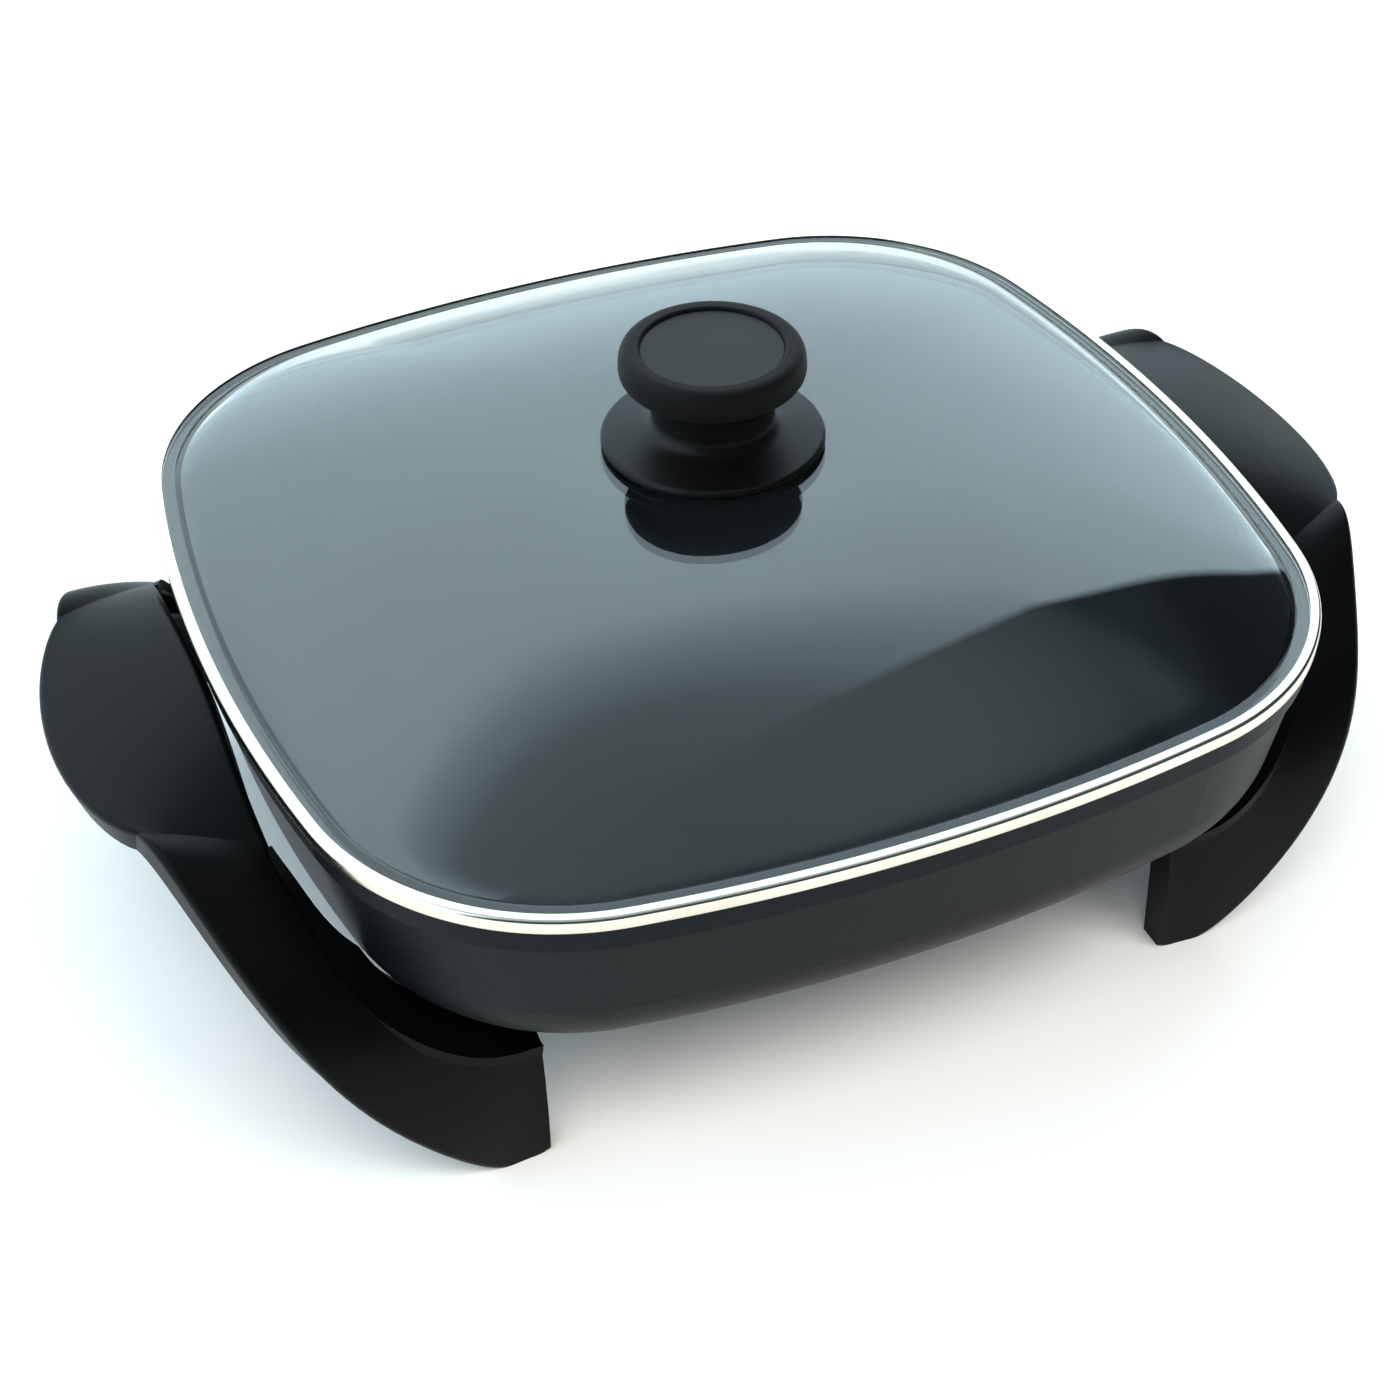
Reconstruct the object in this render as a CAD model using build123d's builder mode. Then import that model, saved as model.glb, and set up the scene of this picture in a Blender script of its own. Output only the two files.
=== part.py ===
from build123d import *
import os
from math import atan2, cos, degrees, radians, sin, sqrt, tan

# Electric skillet: a deep die-cast pan with a heating element under its floor, carried by two
# one-piece mouldings that are handle and legs at once, under a domed glass lid with a knob.
# Millimetres. The origin is on the table under the middle of the pan, +Z is up, the two
# handles lie along X, and the front is -Y.

os.makedirs("parts", exist_ok=True)

# ---------------------------------------------------------------- driving dimensions
# outline of the lid, a square with bowed sides: every other outline is parallel to it
LID_HALF_X = 156.0
LID_HALF_Y = 152.3
SIDE_BOW_X = 467.0          # radius of the two sides that face the handles
SIDE_BOW_Y = 523.0          # radius of the front and back sides
CORNER_R = 78.0

# pan
PAN_CLEAR = 52.5            # floor of the pan above the table
PAN_HEIGHT = 60.6
PAN_WALL = 3.4
PAN_DRAFT = 10.0            # degrees that the wall leans outwards
PAN_BASE_R = 30.0           # corner between wall and floor
RIM_INSET = 1.6             # the pan's rim stands this far inside the lid's edge
RIM_HEIGHT = 7.0            # thickened band round the top of the pan
RIM_WIDTH = 6.5
RIM_LAP = 1.0               # how far the rim band reaches into the wall below it
LEDGE_DEPTH = 3.0           # step inside the rim, under the glass
LEDGE_WIDTH = 3.0

# lid
LID_GAP = 0.3               # lid to pan when it is shut
GLASS_EDGE = 3.6            # thickness of the glass inside its steel rim
GLASS_T = 3.8               # thickness of the dome, measured upright
STEEL_T = 0.5
STEEL_ROUND = 1.0           # outer corner of the rolled rim
STEEL_GRIP = 3.2            # how far the steel reaches over the glass
SHOULDER_INSET = 7.0        # where the flat edge of the glass turns up into the dome
DOME_RISE = 28.1            # knob land above the flat edge
DOME_LEVELS = [(0, 0), (0.05, 0.13), (0.15, 0.32), (0.35, 0.60), (0.65, 0.87), (1, 1)]
SHOULDER_STEP = 1.6         # inside of the shoulder to its outside
KNOB_LAND_R = 36.0
KNOB_LAND_BOW = 6.0         # sides of the land are this much flatter than a circle
KNOB_LAND_CORNER = 3.0      # its corners are this much tighter
GLASS_HOLE_R = 5.5

# knob
FLANGE_R = 32.4
FLANGE_T = 3.0
FLANGE_SLOPE = 1.6          # rise of the flange's top from its rim to its neck
FLANGE_NOSE = 1.1           # rounding of the flange's rim
NECK_R = 17.2
NECK_SPREAD = 6.0           # foot of the neck's curve outside the neck
NECK_HEIGHT = 9.8           # top of the flange's neck above the glass
GRIP_FOOT_R = 17.7
SHANK_R = 19.2              # top of the conical shank, under the head of the grip
SHANK_HEIGHT = 10.0
SHANK_STEP = 0.8            # step out from the shank to the head
GRIP_R = 26.7
GRIP_HEIGHT = 21.1
GRIP_WIDEST = 14.8          # widest line of the grip above its foot
GRIP_LIP = 2.6              # lip round the cap
LIP_ROUND = 0.9             # rounding of the lip's inner edge
CAP_R = 20.4
CAP_T = 2.0
CAP_RECESS = 1.0
CAP_FIT = 0.1
CAP_EDGE = 0.3              # rounding of the cap
KNOB_SCREW_R = 2.5
KNOB_SCREW_DEPTH = 12.0     # thread inside the grip
KNOB_FIT = 0.1
GASKET_R = 11.0
GASKET_T = 1.2
KNOB_WASHER_R = 9.0
KNOB_WASHER_T = 1.0
KNOB_HEAD_R = 4.5
KNOB_HEAD_T = 2.8

# handle mouldings: a channel section that runs from foot to foot round the end of the pan
SKIN = 3.2                  # wall of the moulding
MOULD_DEPTH = 9.0           # depth of the channel section
END_WALL = 4.0              # wall that closes the channel at each foot
CREST_GAP = 1.0             # crest to the lid's edge at the middle of the handle
GRIP_REACH = 45.0           # tip of the grip to the lid's edge
CROWN = 1.2                 # how far the outer face bulges
EDGE_R = 2.6                # rounding of the crest and the outer edge
FOOT_HEIGHT = 44.0          # height of the leg's crest at the end of the foot
# stations along the leg, foot first: the crest (inner top edge) and the outer edge, each as
# (out in X, out in Y, height), in X and Y from the centre of the outline's corner, and in
# height as a share of the way from the foot's top or the table up to the lid's edge
LEG_STATIONS = [
    ((27.0, 40.5, 0.00), (27.0, 42.5, 0.00)),
    ((37.0, 41.5, 0.02), (43.0, 43.5, 0.00)),
    ((49.0, 40.5, 0.08), (56.5, 45.0, 0.11)),
    ((60.5, 36.5, 0.19), (71.0, 44.3, 0.26)),
    ((71.0, 28.5, 0.35), (86.5, 39.0, 0.47)),
    ((77.5, 15.5, 0.53), (98.8, 23.5, 0.68)),
    ((80.5, 6.0, 0.65), (107.5, 3.5, 0.84)),
    ((83.0, -5.5, 0.77), (115.0, -18.5, 0.91)),
]
SHELF_REACH = [27.0, 27.0, 27.0, 25.0, 15.0, 5.0, 2.7, 0.5]   # shelf at each station
SHELF_DROP = 0.5            # shelf below the crest
SHELF_ROOT = 2.0            # how far the shelf starts inside the leg
SHELF_CLEAR = 0.6           # shelf to the pan and its bosses
GRIP_SHOULDER = (0.5, 0.95, 5.5, 0.89)   # half way along: share of Y, crest, tip set back, tip
GRIP_TIP = 0.873            # height of the tip of the grip, as the same kind of share

# fixings and heating element
TAB_T = 5.0
TAB_R = 9.0
TAB_REACH = 22.0            # tab, from its screw out to the wall of the leg
BOSS_R = 6.5
BOSS_HEIGHT = 14.5
BOSS_ROOT = 3.0             # boss, well boss and rib start this far inside the floor
FIX_OUT_X = 41.0            # leg screw, from the centre of the outline's corner
FIX_OUT_Y = 18.0
SCREW_R = 2.4
SCREW_FIT = 0.15
SCREW_DEPTH = 8.0           # screw thread inside its boss
SCREW_HEAD_R = 4.6
SCREW_HEAD_T = 3.0
HEAD_ROUND = 0.5            # rounding of a screw head, as a share of its thickness
SLOT_DEPTH = 0.5            # cross recess: depth as a share of the head's thickness
SLOT_WIDTH = 0.26           # and width of its slots as a share of the head's radius
WASHER_R = 6.0
WASHER_T = 1.0
ELEMENT_R = 3.6
ELEMENT_INSET = 23.0        # element to the edge of the flat floor
ELEMENT_BEND_R = 34.0
ELEMENT_EXIT_R = 14.0       # bend where each end turns out to its pin
RIB_WIDTH = 15.0
RIB_T = 4.6
ELEMENT_FIT = 0.1

# inlet for the plug-in temperature control
PIN_R = 2.5
PIN_PITCH = 35.0
PIN_LENGTH = 32.0
PIN_NOSE_R = 1.5            # rounding of the pin's tip
COLLAR_R = 3.0              # thicker root of the pin, held in its bush
COLLAR_PROUD = 0.6          # collar to the end of the bush
PIN_ROOT = 9.5              # root of the pins, outside the edge of the flat floor
BUSH_R = 4.4
BUSH_LENGTH = 9.0
BUSH_CHAMFER = 0.8
WELL_R = 3.4
WELL_DEPTH = 40.0
WELL_BOSS_R = 6.5
WELL_END_WALL = 8.0         # solid end of the well's boss
WELL_MOUTH = 21.5           # mouth of the well, outside the edge of the flat floor
GUARD_CLEAR = 3.0           # guard to the bushes
GUARD_HEIGHT = 22.0
GUARD_FLANGE = 12.0
GUARD_T = 1.2
GUARD_BACK = 13.0           # how far the guard reaches in under the flat floor
GUARD_LENGTH = 55.0
GUARD_BEND_R = 2.5
GUARD_SCREW_R = 1.9
GUARD_SCREW_DEPTH = 2.6
GUARD_HEAD_R = 3.6
GUARD_HEAD_T = 1.9

# ---------------------------------------------------------------- heights and places
PAN_RIM_Z = PAN_CLEAR + PAN_HEIGHT
LID_BASE_Z = PAN_RIM_Z + LID_GAP
GLASS_BASE_Z = LID_BASE_Z + STEEL_T
GLASS_FLAT_Z = GLASS_BASE_Z + GLASS_EDGE
LID_RIM_Z = GLASS_FLAT_Z + STEEL_T
KNOB_Z = GLASS_FLAT_Z + DOME_RISE
GRIP_Z = KNOB_Z + NECK_HEIGHT
GRIP_TOP_Z = GRIP_Z + GRIP_HEIGHT
CAP_Z = GRIP_TOP_Z - CAP_RECESS
ELEMENT_Z = PAN_CLEAR - ELEMENT_R
PIN_Z = ELEMENT_Z
FIX_Z = PAN_CLEAR - BOSS_HEIGHT
FLOOR_INSET = (RIM_INSET + PAN_HEIGHT * tan(radians(PAN_DRAFT))
               + PAN_BASE_R * tan(radians(45 - PAN_DRAFT / 2)))
FLOOR_X = LID_HALF_X - FLOOR_INSET
FLOOR_Y = LID_HALF_Y - FLOOR_INSET
ELEMENT_HALF_X = FLOOR_X - ELEMENT_INSET
ELEMENT_HALF_Y = FLOOR_Y - ELEMENT_INSET
PIN_ROOT_X = FLOOR_X + PIN_ROOT
WELL_MOUTH_X = FLOOR_X + WELL_MOUTH
GUARD_Y = PIN_PITCH / 2 + BUSH_R + GUARD_CLEAR
GUARD_X = FLOOR_X - GUARD_BACK


def parallel(inset):
    """Sizes of the outline that runs inside the lid's own outline at a constant distance."""
    return (LID_HALF_X - inset, LID_HALF_Y - inset, SIDE_BOW_X - inset,
            SIDE_BOW_Y - inset, CORNER_R - inset)


def blend(outline_a, outline_b, share):
    """Sizes of an outline that lies between two others."""
    return tuple(a + (b - a) * share for a, b in zip(outline_a, outline_b))


def corner_centre(half_x, half_y, bow_x, bow_y, corner_r):
    """Centre of the corner arc that is tangent to both side arcs."""
    side_y = Vector(0, half_y - bow_y)
    side_x = Vector(half_x - bow_x, 0)
    reach_y = bow_y - corner_r
    reach_x = bow_x - corner_r
    gap = side_x - side_y
    along = (reach_y ** 2 - reach_x ** 2 + gap.length ** 2) / (2 * gap.length)
    across = sqrt(reach_y ** 2 - along ** 2)
    unit = gap.normalized()
    return side_y + unit * along + Vector(unit.Y, -unit.X) * across


def draw_outline(half_x, half_y, bow_x, bow_y, corner_r, mode=Mode.ADD):
    """Adds a square with bowed sides and round corners, all tangent arcs, to a sketch."""
    side_y = Vector(0, half_y - bow_y)
    side_x = Vector(half_x - bow_x, 0)
    corner = corner_centre(half_x, half_y, bow_x, bow_y, corner_r)
    end_y = corner + (corner - side_y).normalized() * corner_r
    end_x = corner + (corner - side_x).normalized() * corner_r
    middle = corner + ((end_x + end_y) * 0.5 - corner).normalized() * corner_r
    with BuildLine() as outline:
        half_side = degrees(atan2(end_y.X, end_y.Y - side_y.Y)) / 2
        bow_point = side_y + Vector(sin(radians(half_side)), cos(radians(half_side))) * bow_y
        ThreePointArc((0, half_y), bow_point, end_y)
        ThreePointArc(end_y, middle, end_x)
        half_end = degrees(atan2(end_x.Y, end_x.X - side_x.X)) / 2
        end_point = side_x + Vector(cos(radians(half_end)), sin(radians(half_end))) * bow_x
        ThreePointArc(end_x, end_point, (half_x, 0))
        mirror(about=Plane.XZ)
        mirror(about=Plane.YZ)
    make_face(outline.line, mode=mode)


# ---------------------------------------------------------------- pan
def element_path():
    """Centre line of the tubular element: a rounded loop whose two ends run to the inlet."""
    half_pitch = PIN_PITCH / 2
    with BuildLine(Plane.XY.offset(ELEMENT_Z)) as path:
        FilletPolyline(
            (PIN_ROOT_X, half_pitch),
            (ELEMENT_HALF_X, half_pitch),
            (ELEMENT_HALF_X, ELEMENT_HALF_Y),
            (-ELEMENT_HALF_X, ELEMENT_HALF_Y),
            (-ELEMENT_HALF_X, -ELEMENT_HALF_Y),
            (ELEMENT_HALF_X, -ELEMENT_HALF_Y),
            (ELEMENT_HALF_X, -half_pitch),
            (PIN_ROOT_X, -half_pitch),
            radius=[ELEMENT_EXIT_R] + [ELEMENT_BEND_R] * 4 + [ELEMENT_EXIT_R],
        )
    return path.line


def tube_along(path, radius):
    """Round bar that follows a path."""
    with BuildPart() as bar:
        with BuildSketch(Plane(origin=path @ 0, z_dir=path % 0)):
            Circle(radius)
        sweep(path=path)
    return bar.part


def basin(inset, floor_z, base_r):
    """Solid of the pan's drafted shape, from its rim down to a floor with a rounded corner."""
    with BuildPart() as shape:
        with BuildSketch(Plane.XY.offset(PAN_RIM_Z)):
            draw_outline(*parallel(inset))
        extrude(amount=floor_z - PAN_RIM_Z, taper=PAN_DRAFT)
        fillet(shape.faces().sort_by(Axis.Z)[0].edges(), radius=base_r)
    return shape.part


WALL_ACROSS = PAN_WALL / cos(radians(PAN_DRAFT))
CORNER = corner_centre(*parallel(0))
FIX_X = CORNER.X + FIX_OUT_X
FIX_Y = CORNER.Y + FIX_OUT_Y
FIX_PLACES = [(x, y) for x in (-FIX_X, FIX_X) for y in (-FIX_Y, FIX_Y)]
GUARD_SCREWS = [(GUARD_X + GUARD_BACK / 2, side * (GUARD_Y + GUARD_FLANGE / 2))
                for side in (-1, 1)]
outside = basin(RIM_INSET, PAN_CLEAR, PAN_BASE_R)
inside = basin(RIM_INSET + WALL_ACROSS, PAN_CLEAR + PAN_WALL, PAN_BASE_R - PAN_WALL)

with BuildPart() as pan_casting:
    add(outside)
    # the channel that the element lies in, a rib cast under the floor
    with BuildSketch(Plane.XY.offset(PAN_CLEAR + PAN_WALL / 2)):
        RectangleRounded(2 * ELEMENT_HALF_X + RIB_WIDTH, 2 * ELEMENT_HALF_Y + RIB_WIDTH,
                         ELEMENT_BEND_R + RIB_WIDTH / 2)
        RectangleRounded(2 * ELEMENT_HALF_X - RIB_WIDTH, 2 * ELEMENT_HALF_Y - RIB_WIDTH,
                         ELEMENT_BEND_R - RIB_WIDTH / 2, mode=Mode.SUBTRACT)
    extrude(amount=-RIB_T - PAN_WALL / 2)
    # bosses for the four leg screws
    with Locations(*[(x, y, FIX_Z) for x, y in FIX_PLACES]):
        Cylinder(BOSS_R, PAN_CLEAR + BOSS_ROOT - FIX_Z,
                 align=(Align.CENTER, Align.CENTER, Align.MIN))
    # boss of the thermostat well, between the two ends of the element
    with BuildSketch(Plane.YZ.offset(WELL_MOUTH_X)):
        with Locations((0, PIN_Z)):
            Circle(WELL_BOSS_R)
        with Locations((0, PAN_CLEAR)):
            Rectangle(2 * WELL_BOSS_R, 2 * (PAN_CLEAR - PIN_Z))
    extrude(amount=-WELL_DEPTH - WELL_END_WALL)
    # thick band round the rim
    with BuildSketch(Plane.XY.offset(PAN_RIM_Z - RIM_HEIGHT)):
        draw_outline(*parallel(RIM_INSET))
    extrude(amount=RIM_HEIGHT)
    add(inside, mode=Mode.SUBTRACT)
    # inner edge of the rim band, with a step under the glass
    with BuildSketch(Plane.XY.offset(PAN_RIM_Z - RIM_HEIGHT)):
        draw_outline(*parallel(RIM_INSET + RIM_LAP))
        draw_outline(*parallel(RIM_INSET + RIM_WIDTH), mode=Mode.SUBTRACT)
    extrude(amount=RIM_HEIGHT)
    with BuildSketch(Plane.XY.offset(PAN_RIM_Z)):
        draw_outline(*parallel(RIM_INSET + RIM_WIDTH - LEDGE_WIDTH))
    extrude(amount=-LEDGE_DEPTH, mode=Mode.SUBTRACT)
    # groove for the element, blind holes for the screws, bore of the thermostat well
    add(tube_along(element_path(), ELEMENT_R + ELEMENT_FIT), mode=Mode.SUBTRACT)
    with Locations(*[(x, y, FIX_Z) for x, y in FIX_PLACES]):
        Cylinder(SCREW_R + SCREW_FIT, SCREW_DEPTH, align=(Align.CENTER, Align.CENTER, Align.MIN),
                 mode=Mode.SUBTRACT)
    with Locations(*[(x, y, PAN_CLEAR) for x, y in GUARD_SCREWS]):
        Cylinder(GUARD_SCREW_R + SCREW_FIT, GUARD_SCREW_DEPTH, mode=Mode.SUBTRACT,
                 align=(Align.CENTER, Align.CENTER, Align.MIN))
    with BuildSketch(Plane.YZ.offset(WELL_MOUTH_X)):
        with Locations((0, PIN_Z)):
            Circle(WELL_R)
    extrude(amount=-WELL_DEPTH, mode=Mode.SUBTRACT)
pan_casting.part.label = "pan_casting"
export_step(pan_casting.part, "parts/pan_casting.step")

with BuildPart() as heating_element:
    add(tube_along(element_path(), ELEMENT_R))
heating_element.part.label = "heating_element"
export_step(heating_element.part, "parts/heating_element.step")

for name, side in (("front", -1), ("back", 1)):
    pin_y = side * PIN_PITCH / 2
    with BuildPart() as terminal_pin:
        with BuildSketch(Plane.YZ.offset(PIN_ROOT_X)):
            with Locations((pin_y, PIN_Z)):
                Circle(PIN_R)
        extrude(amount=PIN_LENGTH)
        fillet(terminal_pin.faces().sort_by(Axis.X)[-1].edges(), radius=PIN_NOSE_R)
        with BuildSketch(Plane.YZ.offset(PIN_ROOT_X)):
            with Locations((pin_y, PIN_Z)):
                Circle(COLLAR_R)
        extrude(amount=BUSH_LENGTH + COLLAR_PROUD)
    terminal_pin.part.label = f"terminal_pin_{name}"
    export_step(terminal_pin.part, f"parts/terminal_pin_{name}.step")

    with BuildPart() as pin_bush:
        with BuildSketch(Plane.YZ.offset(PIN_ROOT_X)):
            with Locations((pin_y, PIN_Z)):
                Circle(BUSH_R)
                Circle(COLLAR_R, mode=Mode.SUBTRACT)
        extrude(amount=BUSH_LENGTH)
        chamfer(pin_bush.faces().sort_by(Axis.X)[-1].outer_wire().edges(), length=BUSH_CHAMFER)
    pin_bush.part.label = f"pin_bush_{name}"
    export_step(pin_bush.part, f"parts/pin_bush_{name}.step")

with BuildPart() as inlet_guard:
    with BuildSketch(Plane.YZ.offset(GUARD_X)):
        with BuildLine() as guard_line:
            FilletPolyline(
                (-GUARD_Y - GUARD_FLANGE, PAN_CLEAR - GUARD_T / 2),
                (-GUARD_Y, PAN_CLEAR - GUARD_T / 2),
                (-GUARD_Y, PAN_CLEAR - GUARD_HEIGHT),
                (GUARD_Y, PAN_CLEAR - GUARD_HEIGHT),
                (GUARD_Y, PAN_CLEAR - GUARD_T / 2),
                (GUARD_Y + GUARD_FLANGE, PAN_CLEAR - GUARD_T / 2),
                radius=GUARD_BEND_R,
            )
            offset(amount=GUARD_T / 2, side=Side.BOTH)
        make_face()
    extrude(amount=GUARD_LENGTH)
    with Locations(*[(x, y, PAN_CLEAR) for x, y in GUARD_SCREWS]):
        Hole(GUARD_SCREW_R + SCREW_FIT)
inlet_guard.part.label = "inlet_guard"
export_step(inlet_guard.part, "parts/inlet_guard.step")


# ---------------------------------------------------------------- handle mouldings
def crest_point(out_x, out_y, share):
    """Point on the crest, from the centre of the outline's corner."""
    rise = share * (LID_BASE_Z - FOOT_HEIGHT)
    return Vector(CORNER.X + out_x, CORNER.Y + out_y, FOOT_HEIGHT + rise)


def edge_point(out_x, out_y, share):
    """Point on the outer edge, from the centre of the outline's corner."""
    return Vector(CORNER.X + out_x, CORNER.Y + out_y, share * LID_BASE_Z)


def grip_stations():
    """Crest and edge points along the grip, from the crease at one leg to the other."""
    share_y, crest_share, set_back, edge_share = GRIP_SHOULDER
    shoulder_z = FOOT_HEIGHT + crest_share * (LID_BASE_Z - FOOT_HEIGHT)
    crease = (crest_point(*LEG_STATIONS[-1][0]), edge_point(*LEG_STATIONS[-1][1]))
    shoulder = (
        Vector(LID_HALF_X + CREST_GAP, share_y * CORNER.Y, shoulder_z),
        Vector(LID_HALF_X + GRIP_REACH - set_back, share_y * CORNER.Y, edge_share * LID_BASE_Z),
    )
    middle = (
        Vector(LID_HALF_X + CREST_GAP, 0, LID_BASE_Z),
        Vector(LID_HALF_X + GRIP_REACH, 0, GRIP_TIP * LID_BASE_Z),
    )
    turned = [tuple(Vector(p.X, -p.Y, p.Z) for p in pair) for pair in (shoulder, crease)]
    return [crease, shoulder, middle] + turned


def station_planes(stations, first_way, last_way):
    """Planes across the moulding: origin on the crest, X to the outer edge, Y inwards."""
    middles = [(crest + edge) * 0.5 for crest, edge in stations]
    planes = []
    for index, (crest, edge) in enumerate(stations):
        if index == 0:
            way = first_way
        elif index == len(stations) - 1:
            way = last_way
        else:
            way = middles[index + 1] - middles[index - 1]
        across = (edge - crest).normalized()
        way = (way - across * way.dot(across)).normalized()
        planes.append((Plane(origin=crest, x_dir=across, z_dir=-way), (edge - crest).length))
    return planes


def section(plane, width, nose_r):
    """Outer section of the moulding: a slightly crowned bar with rounded corners."""
    with BuildSketch(plane) as face:
        with BuildLine() as outline:
            ThreePointArc((0, 0), (width / 2, -CROWN), (width, 0))
            Line((width, 0), (width, MOULD_DEPTH))
            Line((width, MOULD_DEPTH), (0, MOULD_DEPTH))
            Line((0, MOULD_DEPTH), (0, 0))
        make_face(outline.line)
        fillet(face.vertices().group_by(Axis.Y)[0], radius=nose_r)
    return face.sketch


def hollow(plane, width):
    """Section of the channel's inside, open on the inner side."""
    with BuildSketch(plane) as face:
        with Locations((width / 2, SKIN + MOULD_DEPTH / 2)):
            Rectangle(width - 2 * SKIN, MOULD_DEPTH)
    return face.sketch


def shelf_planes(crests):
    """Planes across the crest's line: origin on the crest, X level and inwards, Y down."""
    planes = []
    for index, crest in enumerate(crests):
        way = crests[min(index + 1, len(crests) - 1)] - crests[max(index - 1, 0)]
        inwards = Vector(way.Y, -way.X).normalized()
        planes.append(Plane(origin=crest, x_dir=inwards, z_dir=way.normalized()))
    return planes


def shelf_section(plane, reach):
    """Section of the shelf that runs inwards from the crest, in under the pan."""
    with BuildSketch(plane) as face:
        with Locations((-SHELF_ROOT, SHELF_DROP)):
            Rectangle(SHELF_ROOT + reach, SKIN, align=(Align.MIN, Align.MIN))
    return face.sketch


def lofted(sketches):
    """Smooth solid through a row of sections."""
    with BuildPart() as body:
        loft(sections=[sketch.faces()[0] for sketch in sketches])
    return body.part


LEG = [(crest_point(*crest), edge_point(*edge)) for crest, edge in LEG_STATIONS]
GRIP = grip_stations()
ALONG_FOOT = Vector(1, 0, 0)
CREASE_WAY = (GRIP[1][0] + GRIP[1][1] - LEG[-2][0] - LEG[-2][1]) * 0.5
CREASE_BACK = Vector(-CREASE_WAY.X, CREASE_WAY.Y, -CREASE_WAY.Z)
leg_planes = station_planes(LEG, ALONG_FOOT, CREASE_WAY)
grip_planes = station_planes(GRIP, CREASE_WAY, CREASE_BACK)

pan_room = basin(RIM_INSET - SHELF_CLEAR, PAN_CLEAR - SHELF_CLEAR, PAN_BASE_R)

with BuildPart() as shelf:
    rows = zip(shelf_planes([crest for crest, edge in LEG]), SHELF_REACH)
    add(lofted([shelf_section(plane, reach) for plane, reach in rows]))
    add(pan_room, mode=Mode.SUBTRACT)
    with Locations((FIX_X, FIX_Y, FIX_Z)):
        Cylinder(BOSS_R + SHELF_CLEAR, PAN_HEIGHT, mode=Mode.SUBTRACT,
                 align=(Align.CENTER, Align.CENTER, Align.MIN))

with BuildPart() as leg:
    add(lofted([section(plane, width, EDGE_R) for plane, width in leg_planes]))
    foot_plane, foot_width = leg_planes[0]
    inner = [(foot_plane.offset(-END_WALL), foot_width)] + leg_planes[1:]
    add(lofted([hollow(plane, width) for plane, width in inner]), mode=Mode.SUBTRACT)

with BuildPart() as grip:
    add(lofted([section(plane, width, EDGE_R) for plane, width in grip_planes]))
    add(lofted([hollow(plane, width) for plane, width in grip_planes]), mode=Mode.SUBTRACT)


def fixing_tab():
    """Tongue inside the leg that reaches in under the pan to its screw."""
    with BuildPart() as tab:
        with BuildSketch(Plane.XY.offset(FIX_Z)):
            with Locations((FIX_X, FIX_Y)):
                Circle(TAB_R)
                Rectangle(2 * TAB_R, TAB_REACH, align=(Align.CENTER, Align.MIN))
                Circle(SCREW_R + SCREW_FIT, mode=Mode.SUBTRACT)
        extrude(amount=-TAB_T)
    return tab.part


with BuildPart() as handle_right:
    add(leg.part)
    add(shelf.part)
    add(fixing_tab())
    mirror(about=Plane.XZ)
    add(grip.part)
    split(bisect_by=Plane.XY)
handle_right.part.label = "handle_right"
export_step(handle_right.part, "parts/handle_right.step")

with BuildPart() as handle_left:
    add(handle_right.part.mirror(Plane.YZ))
handle_left.part.label = "handle_left"
export_step(handle_left.part, "parts/handle_left.step")


def round_piece(radius, base_z, top_z, places, hole_r=0.0):
    """Discs or rings of one size, one at each place."""
    with BuildPart() as piece:
        with BuildSketch(Plane.XY.offset(base_z)):
            with Locations(*places):
                Circle(radius)
                if hole_r:
                    Circle(hole_r, mode=Mode.SUBTRACT)
        extrude(amount=top_z - base_z)
    return piece.part


def screw(places, under_head_z, head_r, head_t, shank_r, length):
    """Pan-head screws that point up, with a cross recess in each head."""
    with BuildPart() as group:
        add(round_piece(head_r, under_head_z - head_t, under_head_z, places))
        rims = group.faces().sort_by(Axis.Z).group_by(Axis.Z)[0].edges()
        fillet(rims, radius=head_t * HEAD_ROUND)
        add(round_piece(shank_r, under_head_z, under_head_z + length, places))
        with BuildSketch(Plane.XY.offset(under_head_z - head_t)):
            with Locations(*places):
                Rectangle(head_r, head_r * SLOT_WIDTH)
                Rectangle(head_r * SLOT_WIDTH, head_r)
        extrude(amount=head_t * SLOT_DEPTH, mode=Mode.SUBTRACT)
    return group.part


TAB_LOW_Z = FIX_Z - TAB_T
for name, side in (("left", -1), ("right", 1)):
    places = [(side * FIX_X, y) for y in (-FIX_Y, FIX_Y)]
    with BuildPart() as leg_washers:
        add(round_piece(WASHER_R, TAB_LOW_Z - WASHER_T, TAB_LOW_Z, places, SCREW_R + SCREW_FIT))
    leg_washers.part.label = f"leg_washers_{name}"
    export_step(leg_washers.part, f"parts/leg_washers_{name}.step")

    with BuildPart() as leg_screws:
        add(screw(places, TAB_LOW_Z - WASHER_T, SCREW_HEAD_R, SCREW_HEAD_T, SCREW_R,
                  WASHER_T + TAB_T + SCREW_DEPTH - SCREW_FIT))
    leg_screws.part.label = f"leg_screws_{name}"
    export_step(leg_screws.part, f"parts/leg_screws_{name}.step")

with BuildPart() as guard_screws:
    add(screw(GUARD_SCREWS, PAN_CLEAR - GUARD_T, GUARD_HEAD_R, GUARD_HEAD_T,
              GUARD_SCREW_R, GUARD_T + GUARD_SCREW_DEPTH - SCREW_FIT))
guard_screws.part.label = "guard_screws"
export_step(guard_screws.part, "parts/guard_screws.step")

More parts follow.
